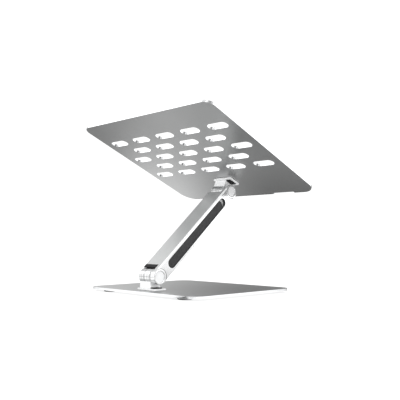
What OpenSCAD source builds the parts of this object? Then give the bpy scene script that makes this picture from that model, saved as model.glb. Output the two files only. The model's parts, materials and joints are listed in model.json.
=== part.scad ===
// Folding laptop stand: a flat base, one arm and a slotted platform,
// joined by two friction hinges whose pins lie along X.
// X runs from the user's left to the right, Y from the user to the back, Z up.
// The origin is on the table, in the middle of the stand's footprint.

/* [Base] */
// Width of the base plate, along X
base_w = 210; // [190:1:240]
// Depth of the base plate, along Y
base_d = 178; // [165:1:200]
// Thickness of the base plate
base_t = 3; // [2.5:0.1:4]
// Corner radius of the base plate
base_r = 19; // [8:1:30]
// Height of the rubber feet under the base
foot_h = 2.5; // [1.5:0.1:4]
// Radius of a rubber foot
foot_r = 9.5; // [6:0.5:12]
// Distance of a foot's centre from the nearest front or back edge
foot_inset_y = 16; // [12:1:30]
// Distance of a foot's centre from the nearest side edge
foot_inset_x = 32; // [14:1:60]

/* [Arm] */
// Distance between the two hinge axes
arm_len = 172; // [160:1:185]
// Width of the arm, along X
arm_w = 32; // [32:1:36]
// Thickness of the arm, across its length
arm_t = 20; // [18:0.5:22]
// Chamfer along the arm's long edges
arm_edge = 1.5; // [0.4:0.1:1.8]
// Elevation of the arm above the table as it stands
arm_angle = 41; // [35:1:50]
// Length of the long pocket in each side of the arm
pocket_len = 134; // [110:1:136]
// Width of the long pocket
pocket_w = 13; // [9:0.5:14]
// Depth of the long pocket
pocket_deep = 2.6; // [1.5:0.1:4]
// Thickness of the dark strip that lies in the pocket
insert_t = 1.6; // [1:0.1:1.8]
// Wall over and under the arm's open ends
arm_wall = 1.6; // [1.4:0.1:4]
// Bare pocket floor left at the strip's upper end
insert_gap = 6; // [1:0.5:12]

/* [Hinges] */
// Distance from the back edge of the base to the lower hinge axis
low_from_back = 26.5; // [22:0.5:40]
// Height of the lower hinge axis above the base plate
low_rise = 17; // [16:0.5:24]
// Distance from the platform's underside to the upper hinge axis
top_drop = 17.5; // [15.5:0.5:24]
// Radius of a hinge barrel and of the arm's round ends
barrel_r = 10; // [9:0.5:11]
// Radius of the hinge pins
pin_r = 4; // [3:0.5:4.5]
// Width and depth of a bracket's flange
flange = [34, 20]; // [16:0.5:40]
// Thickness of a bracket's flange
flange_t = 2.4; // [2:0.1:4]

/* [Platform] */
// Width of the platform, along X
plate_w = 250; // [240:1:280]
// Depth of the platform, along its slope
plate_d = 222; // [215:1:260]
// Thickness of the platform
plate_t = 3; // [2.5:0.1:4]
// Corner radius of the platform at its front edge
plate_r = 20; // [8:1:30]
// Corner radius of the platform at its back edge
plate_back_r = 13; // [8:1:30]
// Slope of the platform as it stands
plate_tilt = 24; // [10:1:30]
// Distance from the front edge to the upper hinge axis
pivot_from_front = 46; // [40:1:60]
// Length of a vent slot
slot_len = 32; // [20:1:40]
// Width of a vent slot
slot_w = 12; // [8:0.5:14]
// Spacing of the slots along X
slot_pitch = 48.35; // [46:0.05:50]
// Spacing of the rows of slots
row_pitch = 23; // [21:0.5:24]
// Number of rows of slots
rows = 5; // [3:2:5]
// Distance from the back edge to the first row of slots
first_row = 47.5; // [40:0.5:50]

/* [Hooks and pads] */
// Height of a front hook above the platform
hook_h = 18; // [12:1:24]
// Width of a front hook
hook_w = 36; // [24:1:50]
// Distance of a hook's middle from the stand's middle
hook_x = 70; // [50:1:85]
// Length of a support pad on the platform
pad_len = 70; // [40:1:80]
// Width of a support pad
pad_w = 12; // [8:1:14]
// Thickness of a support pad
pad_t = 1.5; // [1:0.1:2]

/* [Hidden] */
$fn = 64;
eps = 0.01;

silver = "#d4d6d8";
polished = "#eceeef";
steel = "#b9bcc0";
dark = "#4a4c4f";
rubber = "#26282a";

// Places along the hinge axis, from the arm's left side to its right side
cap_t = 1.5;                      // end cap, flush with the arm's side
ear_x0 = -arm_w/2 + cap_t;        // outer face of the ear, under the cap
ear_x1 = -arm_w/2 + 7.9;          // inner face of the ear
washer_t = 1.8;                   // friction washer between ear and barrel
barrel_x0 = ear_x1 + washer_t;    // barrel's face against the washer
barrel_x1 = arm_w/2 - 1.5;        // barrel's open end
cup_x0 = barrel_x0 + 9.5;         // floor of the barrel's spring cup
plug_t = 1.5;                     // plug that closes the spring cup
cup_r = 7.5;                      // radius of the spring cup
block_x = [barrel_x0, barrel_x1]; // sides of the neck
block_y = [-8, 8];                // front and back faces of the neck
flange_y = 1;                     // middle of the flange, behind the hinge axis
bumper_t = 1.2;                   // black pad on the flange, beside the neck
notch = barrel_r + 1.6;           // hinge axis to the arm's cut end

run_gap = 0.05;                   // running clearance round a pin
tube_end = 6;                     // depth of the arm's open ends
dish_r = 7.2;                     // dished middle of an end cap
dish_deep = 1;
lip_y = 6.6;                      // edge of the lower plug's lip, from the hinge axis
lip_gap = 0.4;                    // clearance of the lip over the barrel
side_wall = 1.6;                  // wall beside an open end
head_r = 6.9;                     // corner radius of the pin's hexagon head
head_t = 2.5;                     // thickness of the pin's head
head_gap = 0.15;                  // clearance of the head in its pocket
spring_n = 4;                     // disc springs in one hinge
spring_t = 0.8;                   // thickness of a disc spring
spring_cone = 0.25;               // height of a disc spring's cone
spring_step = 1.1;                // room that one disc spring takes
nut_t = 4;                        // thickness of the lock nut
nut_r = 6.6;                      // corner radius of the lock nut
nut_x0 = cup_x0 + spring_n*spring_step;
pin_x1 = nut_x0 + nut_t + 0.4;    // threaded end of the pin

screw_r = 2;                      // M4 countersunk screws
screw_head_r = 4;
screw_head_h = 2;
screw_len = 9;
screw_pitch = 12;                 // spacing of the two screws under each neck
screw_x = [(barrel_x0 + barrel_x1 - screw_pitch)/2, (barrel_x0 + barrel_x1 + screw_pitch)/2];
hex_r = 1.45;                     // socket in a screw's head
hex_deep = 1.6;

bend_in = 1;                      // inner bend radius of a front hook
bend_out = bend_in + plate_t;     // outer bend radius of a front hook
hook_pad_t = 2;                   // silicone on the inside of a hook
hook_pad_foot = 16;               // length of the silicone on the platform
hook_corner = 6;                  // rounded upper corners of a hook

// Places of the two hinge axes, with the footprint centred on the origin
reach = arm_len*cos(arm_angle) + pivot_from_front*cos(plate_tilt)
        + (top_drop + plate_t + hook_h)*sin(plate_tilt);
low_y = (reach - low_from_back)/2;
low_z = foot_h + base_t + low_rise;
up_y = low_y - arm_len*cos(arm_angle);
up_z = low_z + arm_len*sin(arm_angle);
base_back = low_y + low_from_back;

// Frames: lower hinge, arm (running along -Y) and platform
module low_frame() translate([0, low_y, low_z]) children();
module arm_frame() low_frame() rotate([-arm_angle, 0, 0]) children();
module top_frame() translate([0, up_y, up_z]) rotate([plate_tilt, 0, 0]) children();

// Runs a hinge piece along X from x0 to x1
module along_x(x0, x1, r) {
    translate([x0, 0, 0]) rotate([0, 90, 0]) cylinder(h = x1 - x0, r = r);
}

module hexagon_x(x0, x1, r) {
    translate([x0, 0, 0]) rotate([0, 90, 0]) cylinder(h = x1 - x0, r = r, $fn = 6);
}

// Flat plate with rounded corners, from y0 to y1
module round_plate(w, y0, y1, r_front, r_back, t) {
    linear_extrude(t) union() {
        translate([-w/2 + r_front, y0]) square([w - 2*r_front, y1 - y0 - r_back]);
        translate([-w/2, y0 + r_front]) square([w, y1 - y0 - r_front - r_back]);
        translate([-w/2 + r_back, y0 + r_front]) square([w - 2*r_back, y1 - y0 - r_front]);
        for (side = [-1, 1]) translate([side*(w/2 - r_front), y0 + r_front]) circle(r_front);
        for (side = [-1, 1]) translate([side*(w/2 - r_back), y1 - r_back]) circle(r_back);
    }
}

// Slot outline with full round ends, its length along X
module slot_2d(len, wide) {
    square([len - wide, wide], center = true);
    for (side = [-1, 1]) translate([side*(len - wide)/2, 0]) circle(wide/2);
}

// Countersunk screw with its head's face at z = 0 and its shank up
module screw() {
    difference() {
        union() {
            cylinder(h = screw_head_h, r1 = screw_head_r, r2 = screw_r);
            translate([0, 0, screw_head_h - eps]) cylinder(h = screw_len - screw_head_h, r = screw_r);
        }
        translate([0, 0, -eps]) cylinder(h = hex_deep, r = hex_r, $fn = 6);
    }
}

// Clearance for a countersunk screw through a plate of thickness t
module screw_hole(t) {
    gap = 0.05;
    translate([0, 0, -eps]) cylinder(h = screw_head_h + eps, r1 = screw_head_r + gap, r2 = screw_r + gap);
    translate([0, 0, screw_head_h - eps]) cylinder(h = t, r = screw_r + gap);
}

// Hinge bracket: flange, neck and barrel, with the flange's face at z = -rise
module bracket(rise) {
    difference() {
        union() {
            translate([0, 0, -rise])
                round_plate(flange[0], flange_y - flange[1]/2, flange_y + flange[1]/2, 2, 2, flange_t);
            translate([block_x[0], block_y[0], -rise + flange_t - eps])
                cube([block_x[1] - block_x[0], block_y[1] - block_y[0], rise - flange_t]);
            along_x(barrel_x0, barrel_x1, barrel_r);
        }
        along_x(barrel_x0 - 1, barrel_x1 + 1, pin_r + run_gap);
        along_x(cup_x0, barrel_x1 + 1, cup_r);
        for (x = screw_x) translate([x, 0, -rise - eps]) cylinder(h = screw_len - base_t + 0.6, r = screw_r + 0.02);
    }
}

module hinge_pin() {
    hexagon_x(ear_x0, ear_x0 + head_t, head_r);
    along_x(ear_x0 + head_t - eps, pin_x1, pin_r);
}

module friction_washer() {
    difference() {
        along_x(ear_x1, barrel_x0, barrel_r - 1.5);
        along_x(ear_x1 - 1, barrel_x0 + 1, pin_r + run_gap);
    }
}

// Disc springs stacked in pairs, cone against cone
module disc_springs() {
    inner = pin_r + 0.1;
    outer = cup_r - 0.3;
    for (i = [0 : spring_n - 1]) {
        flip = i % 2;
        x = cup_x0 + i*spring_step + 0.02;
        translate([x, 0, 0]) rotate([0, 90, 0]) rotate_extrude()
            polygon([[inner, flip*spring_cone], [outer, (1 - flip)*spring_cone],
                     [outer, (1 - flip)*spring_cone + spring_t], [inner, flip*spring_cone + spring_t]]);
    }
}

module lock_nut() {
    difference() {
        hexagon_x(nut_x0, nut_x0 + nut_t, nut_r);
        along_x(nut_x0 - 1, nut_x0 + nut_t + 1, pin_r + 0.02);
    }
}

// Round cap with a dished middle
module end_cap() {
    difference() {
        along_x(-arm_w/2, ear_x0, barrel_r);
        along_x(-arm_w/2 - 1, -arm_w/2 + dish_deep, dish_r);
    }
}

module barrel_plug() {
    along_x(barrel_x1 - plug_t, barrel_x1, cup_r - 0.03);
}

// Black pad on the flange beside the neck, under the arm's ear
module bumper(rise) {
    len = 12.5;
    wide = 8;
    translate([block_x[0] - wide, block_y[1] - len, -rise + flange_t]) cube([wide - 0.05, len, bumper_t]);
}

// Base ------------------------------------------------------------------

module base_plate() {
    color(silver) difference() {
        translate([0, 0, foot_h]) round_plate(base_w, base_back - base_d, base_back, base_r, base_r, base_t);
        for (x = screw_x) translate([x, low_y, foot_h]) screw_hole(base_t);
    }
}

module rubber_feet() {
    lip = 0.6;
    color(rubber)
        for (x = [-1, 1], y = [base_back - foot_inset_y, base_back - base_d + foot_inset_y])
            translate([x*(base_w/2 - foot_inset_x), y, 0]) {
                cylinder(h = lip, r1 = foot_r - lip, r2 = foot_r);
                translate([0, 0, lip]) cylinder(h = foot_h - lip, r = foot_r);
            }
}

module lower_bracket() {
    color(polished) low_frame() bracket(low_rise);
}

module lower_bracket_screws() {
    color(steel) for (x = screw_x) translate([x, low_y, foot_h]) screw();
}

module lower_barrel_plug() {
    color(dark) low_frame() barrel_plug();
}

module lower_bumper() {
    color(rubber) low_frame() bumper(low_rise);
}

// Arm -------------------------------------------------------------------

// Arm's cross-section in X and Z, chamfered along its long edges
module arm_section(x0, x1, e) {
    h = arm_t/2;
    polygon([[x0 + e, -h], [x1 - e, -h], [x1, -h + e], [x1, h - e],
             [x1 - e, h], [x0 + e, h], [x0, h - e], [x0, -h + e]]);
}

// Stretch of the arm from y0 down to y1, measured from the lower axis
module arm_bar(y0, y1, x0, x1, e) {
    translate([0, -y0, 0]) rotate([90, 0, 0]) linear_extrude(y1 - y0) arm_section(x0, x1, e);
}

// Long pocket in the side of the arm, or the strip that fills it
module side_slot(x, deep, len, wide, y_mid) {
    translate([x, -y_mid, 0]) rotate([90, 0, 90]) translate([0, 0, -deep/2])
        linear_extrude(deep) slot_2d(len, wide);
}

module arm() {
    half = arm_w/2;
    color(silver) arm_frame() difference() {
        union() {
            arm_bar(notch, arm_len - notch, -half, half, arm_edge);
            arm_bar(0, arm_len, -half, ear_x1, arm_edge);
            for (y = [0, -arm_len]) translate([0, y, 0]) along_x(ear_x0, ear_x1, arm_t/2);
        }
        for (y = [0, -arm_len]) translate([0, y, 0]) {
            along_x(-half - 1, ear_x0, barrel_r + 0.15);
            hexagon_x(ear_x0 - eps, ear_x0 + head_t, head_r + head_gap);
            along_x(ear_x0, ear_x1 + 1, pin_r + 0.02);
        }
        for (side = [-1, 1])
            side_slot(side*half, 2*pocket_deep, pocket_len, pocket_w, arm_len/2);
        open_end(notch - 1, notch + tube_end, 0);
        open_end(arm_len - notch - tube_end, arm_len - notch + 1, 0);
    }
}

// Space inside the arm's open end, beside the ear, shrunk by gap all round
module open_end(y0, y1, gap) {
    h = arm_t/2 - arm_wall - gap;
    x0 = ear_x1 + gap;
    x1 = arm_w/2 - side_wall - gap;
    translate([x0, -y1, -h]) cube([x1 - x0, y1 - y0, 2*h]);
}

// Black plugs that close the arm's open ends; the lower one has a lip over the barrel
module arm_plugs() {
    inset = 0.4;
    fit = 0.05;
    color(rubber) arm_frame() {
        open_end(notch - 0.5, notch + tube_end - fit, fit);
        difference() {
            arm_bar(lip_y, notch - fit, ear_x1 + 0.1, arm_w/2 - 0.3, 1);
            translate([-arm_w, -arm_len, -arm_t]) cube([2*arm_w, 2*arm_len, arm_t + 2]);
            along_x(-arm_w, arm_w, barrel_r + lip_gap);
        }
        open_end(arm_len - notch - tube_end + fit, arm_len - notch - inset, fit);
    }
}

module arm_strip(side) {
    x = side*(arm_w/2 - pocket_deep + insert_t/2);
    color(dark) arm_frame()
        side_slot(x, insert_t, pocket_len - insert_gap - 0.2, pocket_w - 0.2, (arm_len - insert_gap)/2);
}

module arm_strip_left() arm_strip(-1);
module arm_strip_right() arm_strip(1);

module lower_hinge_pin() color(steel) arm_frame() hinge_pin();
module lower_friction_washer() color(dark) arm_frame() friction_washer();
module lower_disc_springs() color(steel) arm_frame() disc_springs();
module lower_lock_nut() color(steel) arm_frame() lock_nut();
module lower_end_cap() color(polished) arm_frame() end_cap();

module far_end() arm_frame() translate([0, -arm_len, 0]) children();
module upper_hinge_pin() color(steel) far_end() hinge_pin();
module upper_friction_washer() color(dark) far_end() friction_washer();
module upper_disc_springs() color(steel) far_end() disc_springs();
module upper_lock_nut() color(steel) far_end() lock_nut();
module upper_end_cap() color(polished) far_end() end_cap();

// Platform --------------------------------------------------------------

front = -pivot_from_front;          // front edge, from the upper axis
back = plate_d - pivot_from_front;  // back edge, from the upper axis
top_z = top_drop + plate_t;         // upper face, from the upper axis

// Odd rows hold five slots and even rows hold four, half a pitch across
module vent_slots() {
    for (row = [0 : rows - 1]) {
        count = 5 - row % 2;
        for (i = [0 : count - 1])
            translate([(i - (count - 1)/2)*slot_pitch, back - first_row - row*row_pitch, top_drop - 1])
                linear_extrude(plate_t + 2) slot_2d(slot_len, slot_w);
    }
}

// Front hook, bent up out of the platform
module hook(x) {
    mid_y = front + bend_out;
    mid_z = top_drop + bend_out;
    tip = top_z + hook_h;
    translate([x - hook_w/2, 0, 0]) {
        intersection() {
            difference() {
                translate([0, mid_y, mid_z]) along_x(0, hook_w, bend_out);
                translate([0, mid_y, mid_z]) along_x(-1, hook_w + 1, bend_in);
            }
            translate([0, front, top_drop]) cube([hook_w, bend_out, bend_out]);
        }
        translate([0, front, mid_z]) cube([hook_w, plate_t, tip - mid_z - hook_corner]);
        translate([hook_corner, front, tip - hook_corner - eps])
            cube([hook_w - 2*hook_corner, plate_t, hook_corner + eps]);
        for (cx = [hook_corner, hook_w - hook_corner])
            translate([cx, front, tip - hook_corner]) rotate([-90, 0, 0]) cylinder(h = plate_t, r = hook_corner);
    }
}

module top_plate() {
    color(silver) top_frame() {
        difference() {
            translate([0, 0, top_drop]) round_plate(plate_w, front, back, plate_r, plate_back_r, plate_t);
            vent_slots();
            for (x = screw_x) translate([x, 0, top_z]) rotate([180, 0, 0]) screw_hole(plate_t);
            for (x = [-hook_x, hook_x])
                translate([x - hook_w/2, front - 1, top_drop - 1]) cube([hook_w, bend_out + 1, plate_t + 2]);
        }
        for (x = [-hook_x, hook_x]) hook(x);
    }
}

module upper_bracket() {
    color(polished) top_frame() mirror([0, 0, 1]) bracket(top_drop);
}

module upper_bracket_screws() {
    color(steel) top_frame() for (x = screw_x) translate([x, 0, top_z]) rotate([180, 0, 0]) screw();
}

module upper_barrel_plug() {
    color(dark) top_frame() barrel_plug();
}

module upper_bumper() {
    color(rubber) top_frame() mirror([0, 0, 1]) bumper(top_drop);
}

// Silicone inside a hook: a wall against the hook and a foot on the platform
module hook_pad(side) {
    w = hook_w - 4;
    wall = front + plate_t;
    tip = top_z + hook_h - 1;
    color(rubber) top_frame() translate([side*hook_x - w/2, 0, 0]) rotate([90, 0, 90]) linear_extrude(w)
        polygon([[wall, top_z + bend_in], [wall + bend_in, top_z], [wall + hook_pad_foot, top_z],
                 [wall + hook_pad_foot, top_z + pad_t], [wall + bend_in + 1, top_z + pad_t],
                 [wall + hook_pad_t, top_z + pad_t + 1], [wall + hook_pad_t, tip], [wall, tip]]);
}

module hook_pad_left() hook_pad(-1);
module hook_pad_right() hook_pad(1);

// Two silicone pads side by side, y measured from the upper axis
module support_pads(y) {
    color(rubber) top_frame() for (side = [-1, 1])
        translate([side*hook_x, y, top_z]) linear_extrude(pad_t) slot_2d(pad_len, pad_w);
}

module rear_support_pads() support_pads(back - 20);
module front_support_pads() support_pads(front + 42);

base_plate();
rubber_feet();
lower_bracket();
lower_bracket_screws();
lower_hinge_pin();
lower_friction_washer();
lower_disc_springs();
lower_lock_nut();
lower_end_cap();
lower_barrel_plug();
lower_bumper();
arm();
arm_strip_left();
arm_strip_right();
arm_plugs();
upper_bracket();
upper_bracket_screws();
upper_hinge_pin();
upper_friction_washer();
upper_disc_springs();
upper_lock_nut();
upper_end_cap();
upper_barrel_plug();
upper_bumper();
top_plate();
hook_pad_left();
hook_pad_right();
rear_support_pads();
front_support_pads();
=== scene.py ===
"""Folding laptop stand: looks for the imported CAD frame. Lengths are in metres."""
import json
import math

import bmesh
import bpy
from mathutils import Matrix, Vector


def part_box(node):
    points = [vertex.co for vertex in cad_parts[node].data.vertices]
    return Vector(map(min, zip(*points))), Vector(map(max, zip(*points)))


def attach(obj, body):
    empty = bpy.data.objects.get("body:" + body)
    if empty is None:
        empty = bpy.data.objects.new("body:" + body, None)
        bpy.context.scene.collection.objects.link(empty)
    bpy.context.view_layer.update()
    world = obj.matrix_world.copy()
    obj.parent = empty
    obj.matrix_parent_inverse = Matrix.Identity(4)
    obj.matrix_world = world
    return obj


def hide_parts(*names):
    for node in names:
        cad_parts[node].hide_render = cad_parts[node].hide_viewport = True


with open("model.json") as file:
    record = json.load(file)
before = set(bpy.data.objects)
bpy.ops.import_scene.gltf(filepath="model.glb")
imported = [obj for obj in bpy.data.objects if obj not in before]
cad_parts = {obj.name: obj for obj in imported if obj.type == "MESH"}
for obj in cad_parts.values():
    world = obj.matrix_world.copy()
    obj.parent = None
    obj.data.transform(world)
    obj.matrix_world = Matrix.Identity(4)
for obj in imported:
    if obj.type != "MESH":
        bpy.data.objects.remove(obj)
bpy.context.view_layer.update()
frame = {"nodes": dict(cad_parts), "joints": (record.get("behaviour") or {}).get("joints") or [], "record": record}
nodes = frame["nodes"]
joints = {j["name"]: j for j in frame["joints"]}

MM = 0.001
LOWER = Vector(joints["lower_hinge"]["pos_m"])
UPPER = Vector(joints["upper_hinge"]["pos_m"])
ACROSS = Vector((1, 0, 0))
ALONG_ARM = (UPPER - LOWER).normalized()
ARM_FACE = ACROSS.cross(ALONG_ARM)
PLATE_UP = Vector(frame["record"]["mounts"][1]["axis"])
POCKET_HALF = 6.7 * MM
POCKET_DEEP = 3 * MM
CAP_R = 10 * MM
CAP_T = 1.5 * MM
CAP_DISH_R = 7 * MM
EAR_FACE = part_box("lower_end_cap")[0][0]
EDGE = 1  # index of the edge material on every edged piece
NOISE_LOW, NOISE_HIGH = 0.3, 0.7  # most of a noise's values lie between these
WALL = 0.3  # a face is a wall when its normal has less than this along the sheet's own up
WHITE = (1, 1, 1, 1)


# Node helpers ---------------------------------------------------------------

def new_material(name, metallic=0.0):
    """A material with only a Principled shader and an output; returns it with its tree and shader."""
    material = bpy.data.materials.new(name)
    material.use_nodes = True
    tree = material.node_tree
    shader = tree.nodes["Principled BSDF"]
    shader.inputs["Metallic"].default_value = metallic
    return material, tree, shader


def add(tree, kind, **settings):
    """Adds a node; settings that name an input set its value, and the others set a property."""
    node = tree.nodes.new(kind)
    for key, value in settings.items():
        name = key.replace("_", " ")
        if name in node.inputs:
            node.inputs[name].default_value = value
        else:
            setattr(node, key, value)
    return node


def object_noise(tree, scale, detail=2.0, roughness=0.5, stretch=(1, 1, 1)):
    """Noise in object space, stretched by the given factors; returns its value socket."""
    coords = add(tree, "ShaderNodeTexCoord")
    mapping = add(tree, "ShaderNodeMapping", Scale=stretch)
    noise = add(tree, "ShaderNodeTexNoise", Scale=scale, Detail=detail, Roughness=roughness)
    tree.links.new(coords.outputs["Object"], mapping.inputs["Vector"])
    tree.links.new(mapping.outputs["Vector"], noise.inputs["Vector"])
    return noise.outputs["Fac"]


def spread(tree, value, low, high, start=NOISE_LOW, end=NOISE_HIGH):
    """Maps a value between start and end to the range low to high; returns the socket."""
    ranger = add(tree, "ShaderNodeMapRange")
    ranger.inputs["From Min"].default_value = start
    ranger.inputs["From Max"].default_value = end
    ranger.inputs["To Min"].default_value = low
    ranger.inputs["To Max"].default_value = high
    tree.links.new(value, ranger.inputs["Value"])
    return ranger.outputs["Result"]


def roughen(tree, shader, value, low, high):
    """Sets the shader's roughness between low and high by a value."""
    tree.links.new(spread(tree, value, low, high), shader.inputs["Roughness"])


def bump(tree, shader, height, distance, strength):
    """Feeds a height into the shader's normal."""
    node = add(tree, "ShaderNodeBump", Strength=strength, Distance=distance)
    tree.links.new(height, node.inputs["Height"])
    tree.links.new(node.outputs["Normal"], shader.inputs["Normal"])


def tint(tree, shader, value, dark, light):
    """Colours the shader between dark and light by a value."""
    ramp = add(tree, "ShaderNodeValToRGB")
    stops = ramp.color_ramp.elements
    for stop, position, colour in zip(stops, (NOISE_LOW, NOISE_HIGH), (dark, light)):
        stop.position = position
        stop.color = (*colour, 1)
    tree.links.new(value, ramp.inputs["Fac"])
    tree.links.new(ramp.outputs["Color"], shader.inputs["Base Color"])


def paint_crevice_shade(tree, shader, reach, darkest):
    """Painted shade: darkens the shader's colour where another surface is within reach, standing in for the shade
    in creases and between parts.
    """
    colour = shader.inputs["Base Color"].links[0].from_socket
    nearby = add(tree, "ShaderNodeAmbientOcclusion", Distance=reach)
    nearby.samples = 8
    # The multiply paints this crevice shade into the base colour
    crevice_shade_mix = add(tree, "ShaderNodeMix", data_type="RGBA", blend_type="MULTIPLY")
    crevice_shade_mix.inputs["Factor"].default_value = 1.0
    shade = spread(tree, nearby.outputs["AO"], darkest, 1.0, start=0.35, end=0.85)
    # The node's colour sockets share their names with others, so they are picked by index
    tree.links.new(colour, crevice_shade_mix.inputs[6])
    tree.links.new(shade, crevice_shade_mix.inputs[7])
    tree.links.new(crevice_shade_mix.outputs[2], shader.inputs["Base Color"])


# Materials ------------------------------------------------------------------

def satin_aluminium():
    """Bead-blasted and anodised sheet: fine grain, faint cloudiness."""
    material, tree, shader = new_material("satin_aluminium", metallic=1.0)
    cloud = object_noise(tree, 9.0, detail=3.0)
    grain = object_noise(tree, 2600.0, detail=3.0)
    fine = object_noise(tree, 900.0, detail=2.0)
    tint(tree, shader, cloud, (0.42, 0.425, 0.425), (0.46, 0.465, 0.465))
    roughen(tree, shader, fine, 0.30, 0.38)
    bump(tree, shader, grain, 0.00002, strength=0.5)
    paint_crevice_shade(tree, shader, 2.5 * MM, 0.1)
    return material


def cut_aluminium():
    """Diamond-cut rims, sides and slot walls: bright, with fine cutting lines."""
    material, tree, shader = new_material("cut_aluminium", metallic=1.0)
    lines = object_noise(tree, 500.0, detail=2.0)
    tint(tree, shader, lines, (0.88, 0.89, 0.90), (0.92, 0.93, 0.94))
    roughen(tree, shader, lines, 0.13, 0.17)
    paint_crevice_shade(tree, shader, 1.0 * MM, 0.1)
    return material


def frosted_aluminium(name, metallic):
    """Bead-blasted and silver-lacquered faces, which scatter light in every direction."""
    material, tree, shader = new_material(name, metallic)
    grain = object_noise(tree, 3000.0, detail=3.0)
    tint(tree, shader, grain, (0.92, 0.925, 0.93), (0.96, 0.965, 0.97))
    roughen(tree, shader, grain, 0.32, 0.46)
    bump(tree, shader, grain, 0.00001, strength=0.4)
    paint_crevice_shade(tree, shader, 1.2 * MM, 0.06)
    return material


def shaded_aluminium():
    """The platform's front edge, with a painted dark reflection: a darker metal than its faces."""
    material, tree, shader = new_material("shaded_aluminium", metallic=1.0)
    lines = object_noise(tree, 900.0, detail=3.0, stretch=(0.1, 1, 1))
    tint(tree, shader, lines, (0.16, 0.16, 0.165), (0.21, 0.21, 0.215))
    roughen(tree, shader, lines, 0.34, 0.44)
    return material


def polished_aluminium():
    """The arm and its caps: bright, with a faint buffing haze and hairlines."""
    material, tree, shader = new_material("polished_aluminium", metallic=1.0)
    haze = object_noise(tree, 60.0, detail=4.0)
    hair = object_noise(tree, 1500.0, detail=3.0)
    tint(tree, shader, haze, (0.86, 0.865, 0.87), (0.90, 0.905, 0.91))
    roughen(tree, shader, hair, 0.10, 0.16)
    bump(tree, shader, hair, 0.000004, strength=0.3)
    paint_crevice_shade(tree, shader, 1.2 * MM, 0.06)
    return material


def turned_aluminium():
    """The hinge barrels: bright, with faint turning bands round their axis."""
    material, tree, shader = new_material("turned_aluminium", metallic=1.0)
    bands = object_noise(tree, 420.0, detail=3.0, roughness=0.6, stretch=(1, 0.02, 0.02))
    tint(tree, shader, bands, (0.40, 0.405, 0.41), (0.93, 0.935, 0.94))
    roughen(tree, shader, bands, 0.24, 0.12)
    paint_crevice_shade(tree, shader, 2.5 * MM, 0.06)
    return material


def brushed_aluminium():
    """The arm's wide faces: brushed along its length."""
    material, tree, shader = new_material("brushed_aluminium", metallic=1.0)
    hair = object_noise(tree, 1600.0, detail=3.0, stretch=(1, 0.04, 0.04))
    cloud = object_noise(tree, 24.0, detail=3.0)
    tint(tree, shader, cloud, (0.72, 0.73, 0.73), (0.75, 0.76, 0.76))
    roughen(tree, shader, hair, 0.34, 0.42)
    bump(tree, shader, hair, 0.000003, strength=0.25)
    return material


def machined_steel():
    """Zinc-plated turned steel of the pins, nuts, springs and screws."""
    material, tree, shader = new_material("machined_steel", metallic=1.0)
    turned = object_noise(tree, 900.0, detail=2.0, stretch=(1, 0.1, 0.1))
    tint(tree, shader, turned, (0.50, 0.51, 0.53), (0.62, 0.63, 0.65))
    roughen(tree, shader, turned, 0.22, 0.36)
    return material


def textured_plastic(name, dark, light, grain_size, rough):
    """Moulded plastic or rubber with a fine spark-eroded grain."""
    material, tree, shader = new_material(name)
    grain = object_noise(tree, 1.0 / grain_size, detail=4.0, roughness=0.6)
    cloud = object_noise(tree, 60.0, detail=3.0)
    tint(tree, shader, cloud, dark, light)
    roughen(tree, shader, grain, rough - 0.06, rough + 0.08)
    shader.inputs["Specular IOR Level"].default_value = 0.25
    bump(tree, shader, grain, grain_size * 0.12, strength=0.6)
    return material


def strip_plastic():
    """The dark inlay: leather-like grain over a cloudy dark grey."""
    material, tree, shader = new_material("strip_plastic")
    coords = add(tree, "ShaderNodeTexCoord")
    cells = add(tree, "ShaderNodeTexVoronoi", Scale=900.0, feature="SMOOTH_F1")
    tree.links.new(coords.outputs["Object"], cells.inputs["Vector"])
    grain = object_noise(tree, 360.0, detail=5.0, roughness=0.75)
    tint(tree, shader, grain, (0.006, 0.006, 0.007), (0.052, 0.053, 0.055))
    roughen(tree, shader, grain, 0.34, 0.60)
    shader.inputs["Specular IOR Level"].default_value = 0.35
    bump(tree, shader, cells.outputs["Distance"], 0.00012, strength=0.5)
    return material


SATIN = satin_aluminium()
CUT = cut_aluminium()
FROSTED = frosted_aluminium("frosted_aluminium", 0.5)
LACQUERED = frosted_aluminium("silver_lacquer", 0.15)
SHADED = shaded_aluminium()
POLISHED = polished_aluminium()
TURNED = turned_aluminium()
BRUSHED = brushed_aluminium()
STEEL = machined_steel()
STRIP = strip_plastic()
PLUG = textured_plastic("plug_plastic", (0.020, 0.020, 0.022), (0.035, 0.035, 0.037), 0.0004, 0.5)
RUBBER = textured_plastic("rubber_black", (0.012, 0.012, 0.013), (0.022, 0.022, 0.023), 0.0005, 0.62)
SILICONE = textured_plastic("silicone_grey", (0.035, 0.036, 0.038), (0.055, 0.056, 0.058), 0.0004, 0.55)


# Pieces ---------------------------------------------------------------------

def finish_mesh(obj, smooth_angle=35):
    """Smooth shading that breaks at real edges, with face-weighted normals."""
    mesh = obj.data
    mesh.shade_smooth()
    mesh.set_sharp_from_angle(angle=math.radians(smooth_angle))
    modifier = obj.modifiers.new("normals", "WEIGHTED_NORMAL")
    modifier.keep_sharp = True


def place(obj, body, node):
    """Puts a piece on its body, in place of a CAD node."""
    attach(obj, body)
    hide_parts(node)


def new_object(name, data):
    """Makes an object from its data and links it to the scene."""
    obj = bpy.data.objects.new(name, data)
    bpy.context.scene.collection.objects.link(obj)
    return obj


def add_materials(obj, *materials):
    """Adds materials to a piece; returns their indices."""
    first = len(obj.data.materials)
    for material in materials:
        obj.data.materials.append(material)
    return range(first, first + len(materials))


def body_mesh(node):
    """A cleaned copy of a CAD node's mesh: welded, with its flat faces joined up."""
    work = bmesh.new()
    work.from_mesh(nodes[node].data)
    bmesh.ops.remove_doubles(work, verts=work.verts, dist=0.002 * MM)
    bmesh.ops.dissolve_limit(work, angle_limit=math.radians(0.4), verts=work.verts, edges=work.edges)
    mesh = bpy.data.meshes.new(node)
    work.to_mesh(mesh)
    work.free()
    return mesh


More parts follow.
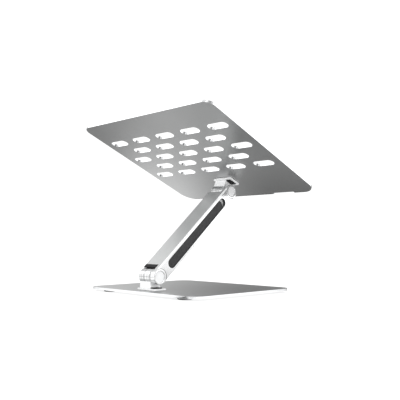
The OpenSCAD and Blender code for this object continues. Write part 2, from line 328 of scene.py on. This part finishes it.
def edged(node, name, body, face_material, edge_material, width):
    """A CAD shape with its edges broken by a small round in their own finish."""
    obj = new_object(name, body_mesh(node))
    add_materials(obj, face_material, edge_material)
    bevel = obj.modifiers.new("edges", "BEVEL")
    bevel.width = width
    bevel.segments = 3
    bevel.limit_method = "ANGLE"
    bevel.angle_limit = math.radians(38)
    bevel.material = EDGE
    finish_mesh(obj)
    place(obj, body, node)
    return obj


def base_sheet():
    """The base, with its sides cut bright."""
    obj = edged("base_plate", "base_sheet", "base", SATIN, CUT, 0.4 * MM)
    for face in obj.data.polygons:
        if abs(face.normal.z) < WALL:
            face.material_index = EDGE


def platform_sheet():
    """The platform, with its sides and slot walls cut bright and a painted dark reflection in a band along its
    front edge.
    """
    obj = edged("top_plate", "platform_sheet", "platform", SATIN, CUT, 0.35 * MM)
    shaded, = add_materials(obj, SHADED)
    band = 1.6 * MM
    backward = PLATE_UP.cross(ACROSS)
    # The vertex lowest down and nearest the middle lies on the front edge
    front_edge = min((v.co.copy() for v in obj.data.vertices), key=lambda at: (round(at.z, 5), abs(at.x)))
    work = bmesh.new()
    work.from_mesh(obj.data)
    bmesh.ops.bisect_plane(work, geom=[*work.verts, *work.edges, *work.faces],
                           plane_co=front_edge + backward * band, plane_no=backward)
    work.to_mesh(obj.data)
    work.free()
    for face in obj.data.polygons:
        from_front = (face.center - front_edge).dot(backward)
        upward = face.normal.dot(PLATE_UP)
        # Faces in the band under the front edge take the painted dark reflection
        if from_front < band and upward < 0.2:
            face.material_index = shaded
        elif abs(upward) < WALL:
            face.material_index = EDGE


def arm_casting():
    """The arm: brushed wide faces, lacquered chamfers, polished sides and ends, pocket walls in dark plastic as
    painted shade.
    """
    obj = edged("arm", "arm_casting", "arm", POLISHED, CUT, 0.25 * MM)
    brushed, dark, satin, lacquered = add_materials(obj, BRUSHED, PLUG, SATIN, LACQUERED)
    length = (UPPER - LOWER).length
    for face in obj.data.polygons:
        off_axis = abs((face.center - LOWER).dot(ARM_FACE))
        depth = abs(EAR_FACE) - abs(face.center.x)
        along = (face.center - LOWER).dot(ALONG_ARM)
        side = abs(face.normal.x)
        wide = abs(face.normal.dot(ARM_FACE))
        between_caps = CAP_R + CAP_T < along < length - CAP_R - CAP_T
        # The pocket's walls take the dark plastic as painted shade in the recess; its floor stays satin
        if off_axis < POCKET_HALF and 0.1 * MM < depth < POCKET_DEEP and between_caps:
            face.material_index = dark if side < 0.1 else satin
        if wide > 0.95:
            face.material_index = brushed
            face.use_smooth = False
        elif 0.4 < side < 0.9 and wide > 0.4:
            face.material_index = lacquered
            face.use_smooth = False
        elif side > 0.99:
            face.use_smooth = False


def farthest_corner(obj, face, axis):
    """How far a face reaches from an axis along X."""
    return max((obj.data.vertices[i].co - axis).yz.length for i in face.vertices)


def lathe(name, profile, centre, steps=72):
    """A closed mesh turned about an axis along X; the profile holds (x, radius) pairs."""
    work = bmesh.new()
    rings = []
    for x, radius in profile:
        if radius == 0:
            rings.append([work.verts.new((x, centre.y, centre.z))])
            continue
        ring = []
        for i in range(steps):
            turn = 2 * math.pi * i / steps
            y, z = centre.y + radius * math.cos(turn), centre.z + radius * math.sin(turn)
            ring.append(work.verts.new((x, y, z)))
        rings.append(ring)
    for inner, outer in zip(rings, rings[1:]):
        for i in range(steps):
            j = (i + 1) % steps
            corners = [inner[i % len(inner)], inner[j % len(inner)],
                       outer[j % len(outer)], outer[i % len(outer)]]
            unique = []
            for corner in corners:
                if corner not in unique:
                    unique.append(corner)
            work.faces.new(unique)
    bmesh.ops.recalc_face_normals(work, faces=work.faces)
    mesh = bpy.data.meshes.new(name)
    work.to_mesh(mesh)
    work.free()
    return mesh


def round_cap(end, centre):
    """Turned hinge cap: a rounded rim round a frosted, dished face."""
    x = EAR_FACE
    profile = [(x + 1.0 * MM, 0), (x + 1.0 * MM, 6.9 * MM), (x + 0.9 * MM, 7.1 * MM),
               (x + 0.3 * MM, 7.2 * MM), (x + 0.05 * MM, 7.4 * MM), (x, 7.7 * MM),
               (x, 9.2 * MM), (x + 0.12 * MM, 9.6 * MM), (x + 0.4 * MM, 9.9 * MM),
               (x + 0.75 * MM, CAP_R), (x + CAP_T, CAP_R), (x + CAP_T, 0)]
    name = end + "_round_cap"
    obj = new_object(name, lathe(name, profile, centre))
    _, frosted = add_materials(obj, POLISHED, FROSTED)
    for face in obj.data.polygons:
        if farthest_corner(obj, face, centre) < CAP_DISH_R:
            face.material_index = frosted
    finish_mesh(obj, 28)
    place(obj, "arm", end + "_end_cap")


def hinge_bracket(end, body, axis):
    """Bracket with a turned barrel on a silver-lacquered neck and flange."""
    obj = edged(end + "_bracket", end + "_hinge_bracket", body, TURNED, CUT, 0.4 * MM)
    lacquered, = add_materials(obj, LACQUERED)
    for face in obj.data.polygons:
        if farthest_corner(obj, face, axis) > CAP_R + 0.05 * MM:
            face.material_index = lacquered


base_sheet()
platform_sheet()
arm_casting()
round_cap("lower", LOWER)
round_cap("upper", UPPER)
hinge_bracket("lower", "base", LOWER)
hinge_bracket("upper", "platform", UPPER)
for side in ("left", "right"):
    # The inlay's rounded edges are darker rubber: painted shade for the gap between inlay and pocket wall
    edged("arm_strip_" + side, "arm_inlay_" + side, "arm", STRIP, RUBBER, 0.7 * MM)
    edged("hook_pad_" + side, "hook_cushion_" + side, "platform", SILICONE, SILICONE, 0.5 * MM)
for side in ("rear", "front"):
    edged(side + "_support_pads", side + "_grip_pads", "platform", SILICONE, SILICONE, 0.5 * MM)
# Black rubber pads on the flanges under the ears: dark parts set where the hinges are in shade, painted shade
edged("lower_bumper", "lower_shade_pad", "base", RUBBER, RUBBER, 0.3 * MM)
edged("upper_bumper", "upper_shade_pad", "platform", RUBBER, RUBBER, 0.3 * MM)
edged("arm_plugs", "arm_end_plugs", "arm", RUBBER, RUBBER, 0.4 * MM)
edged("rubber_feet", "base_feet", "base", RUBBER, RUBBER, 0.3 * MM)

# The inner hinge parts keep their CAD shapes and only get a finish
CAD_FINISH = {"steel": STEEL, "dark_plastic": PLUG}
for row in frame["record"]["subparts"]:
    obj = nodes[row["node"]]
    if not obj.hide_render:
        obj.data.materials.clear()
        obj.data.materials.append(CAD_FINISH[row["material_slot"]])


# Stage ----------------------------------------------------------------------

FLOOR_GLOW = 0.74
CARD_LEVEL = 0.72
STUDIO_LEVEL = 0.62
BACKDROP_LEVEL = 1.12


def studio_floor():
    """A pale, faintly glowing floor that runs well past the view."""
    under_feet = (0, 0, -0.05 * MM)
    bpy.ops.mesh.primitive_circle_add(vertices=96, radius=6.0, fill_type="NGON", location=under_feet)
    obj = bpy.context.object
    obj.name = "studio_floor"
    material, tree, shader = new_material("studio_floor")
    speckle = object_noise(tree, 40.0, detail=4.0)
    tint(tree, shader, speckle, (0.40, 0.40, 0.40), (0.42, 0.42, 0.42))
    shader.inputs["Roughness"].default_value = 0.8
    shader.inputs["Specular IOR Level"].default_value = 0.0
    shader.inputs["Emission Color"].default_value = WHITE
    shader.inputs["Emission Strength"].default_value = FLOOR_GLOW
    obj.data.materials.append(material)


def glow_between(tree, value, start, end):
    """One where the value is past end, falling smoothly to zero at start."""
    ranger = add(tree, "ShaderNodeMapRange", interpolation_type="SMOOTHSTEP")
    ranger.inputs["From Min"].default_value = start
    ranger.inputs["From Max"].default_value = end
    tree.links.new(value, ranger.inputs["Value"])
    return ranger.outputs["Result"]


def layered(tree, base, layers):
    """Starts from a level and blends in each (mask socket, level) pair in turn."""
    level = None
    for mask, brightness in layers:
        mix = add(tree, "ShaderNodeMix", data_type="FLOAT")
        mix.inputs["A"].default_value = base
        mix.inputs["B"].default_value = brightness
        if level is not None:
            tree.links.new(level, mix.inputs["A"])
        tree.links.new(mask, mix.inputs["Factor"])
        level = mix.outputs["Result"]
    return level


# Soft patches of the low reflector: middle, inner and outer radius, brightness
PATCHES = [
    ((0.53, 0.02), 0.06, 0.32, 0.30),
    ((0.04, -0.25), 0.06, 0.25, 0.24),
    ((0.37, -0.18), 0.05, 0.16, 1.5),
    ((-0.18, 0.03), 0.09, 0.15, 1.25),
    ((0.02, 0.20), 0.09, 0.16, 1.25),
    ((-0.80, -0.65), 0.35, 0.62, 1.15),
    ((-0.072, 0.137), 0.014, 0.028, 0.02),
]


def low_reflector():
    """A gradient card on the floor, seen only in the metal: it shades what the underside mirrors."""
    bpy.ops.mesh.primitive_plane_add(size=5.0, location=(0, 0, 0.4 * MM))
    obj = bpy.context.object
    obj.name = "low_reflector"
    material, tree, shader = new_material("low_reflector")
    coords = add(tree, "ShaderNodeTexCoord")
    layers = []
    for (x, y), inner, outer, brightness in PATCHES:
        offset = add(tree, "ShaderNodeVectorMath", operation="DISTANCE")
        offset.inputs[1].default_value = (x, y, 0)
        tree.links.new(coords.outputs["Object"], offset.inputs[0])
        layers.append((glow_between(tree, offset.outputs["Value"], outer, inner), brightness))
    tree.links.new(layered(tree, CARD_LEVEL, layers), shader.inputs["Emission Strength"])
    shader.inputs["Emission Color"].default_value = WHITE
    shader.inputs["Base Color"].default_value = (0, 0, 0, 1)
    shader.inputs["Specular IOR Level"].default_value = 0.0
    obj.data.materials.append(material)
    obj.visible_camera = False
    obj.visible_diffuse = False
    obj.visible_shadow = False


# Soft panels and flags round the studio: direction, inner and outer reach in degrees, brightness
PANELS = [
    ((0.58, -0.81, 0.05), 8, 34, 0.22),
    ((0.88, -0.46, 0.07), 4, 22, 1.15),
    ((0.72, -0.16, 0.68), 10, 30, 0.80),
    ((0.72, 0.42, 0.55), 9, 20, 2.2),
    ((-0.72, -0.69, 0.12), 20, 50, 1.6),
    ((-0.68, 0.46, 0.57), 11, 20, 0.02),
    ((0.72, 0.69, 0.05), 14, 32, 1.25),
    ((0.0, 0.0, 1.0), 20, 60, 0.95),
]


def studio_world():
    """White behind the object; soft panels and dark flags for what it mirrors."""
    world = bpy.data.worlds.new("studio")
    bpy.context.scene.world = world
    world.use_nodes = True
    tree = world.node_tree
    tree.nodes.clear()
    coords = add(tree, "ShaderNodeTexCoord")
    layers = []
    for towards, inner, outer, brightness in PANELS:
        dot = add(tree, "ShaderNodeVectorMath", operation="DOT_PRODUCT")
        dot.inputs[1].default_value = Vector(towards).normalized()
        tree.links.new(coords.outputs["Generated"], dot.inputs[0])
        fade_start, fade_end = (math.cos(math.radians(reach)) for reach in (outer, inner))
        layers.append((glow_between(tree, dot.outputs["Value"], fade_start, fade_end), brightness))
    soft = add(tree, "ShaderNodeBackground", Color=WHITE)
    tree.links.new(layered(tree, STUDIO_LEVEL, layers), soft.inputs["Strength"])
    white = add(tree, "ShaderNodeBackground", Color=WHITE, Strength=BACKDROP_LEVEL)
    path = add(tree, "ShaderNodeLightPath")
    choose = add(tree, "ShaderNodeMixShader")
    out = add(tree, "ShaderNodeOutputWorld")
    tree.links.new(path.outputs["Is Glossy Ray"], choose.inputs["Fac"])
    tree.links.new(white.outputs["Background"], choose.inputs[1])
    tree.links.new(soft.outputs["Background"], choose.inputs[2])
    tree.links.new(choose.outputs["Shader"], out.inputs["Surface"])


def softbox(name, where, target, size, power):
    """A rectangular area light aimed at a target; size is in metres, power in watts."""
    data = bpy.data.lights.new(name, "AREA")
    data.shape = "RECTANGLE"
    data.size, data.size_y = size
    data.energy = power
    obj = new_object(name, data)
    obj.location = where
    obj.rotation_euler = (Vector(where) - Vector(target)).to_track_quat("Z", "Y").to_euler()
    return obj


def studio_camera():
    """From behind and to the left of the stand, low down and looking a little up."""
    azimuth = math.radians(226.05)
    elevation = math.radians(-3.47)
    aim = Vector((0, -0.003, 0.1224))
    distance = 0.8295
    back = Vector((math.sin(azimuth) * math.cos(elevation),
                   -math.cos(azimuth) * math.cos(elevation),
                   math.sin(elevation)))
    data = bpy.data.cameras.new("camera")
    data.sensor_width = 36.0
    data.lens = 54.7
    data.clip_start = 0.01
    obj = new_object("camera", data)
    obj.location = aim + distance * back
    obj.rotation_euler = back.to_track_quat("Z", "Y").to_euler()
    bpy.context.scene.camera = obj


studio_floor()
low_reflector()
studio_world()
softbox("key_light", (-0.3, 0.2, 1.8), (0, 0, 0.12), (1.6, 1.6), 8)
fill_light = softbox("fill_light", (-0.75, 0.85, 0.25), (0, 0, 0.14), (0.8, 0.5), 3.5)
fill_light.visible_glossy = False
studio_camera()
bpy.context.scene.view_settings.view_transform = "Standard"
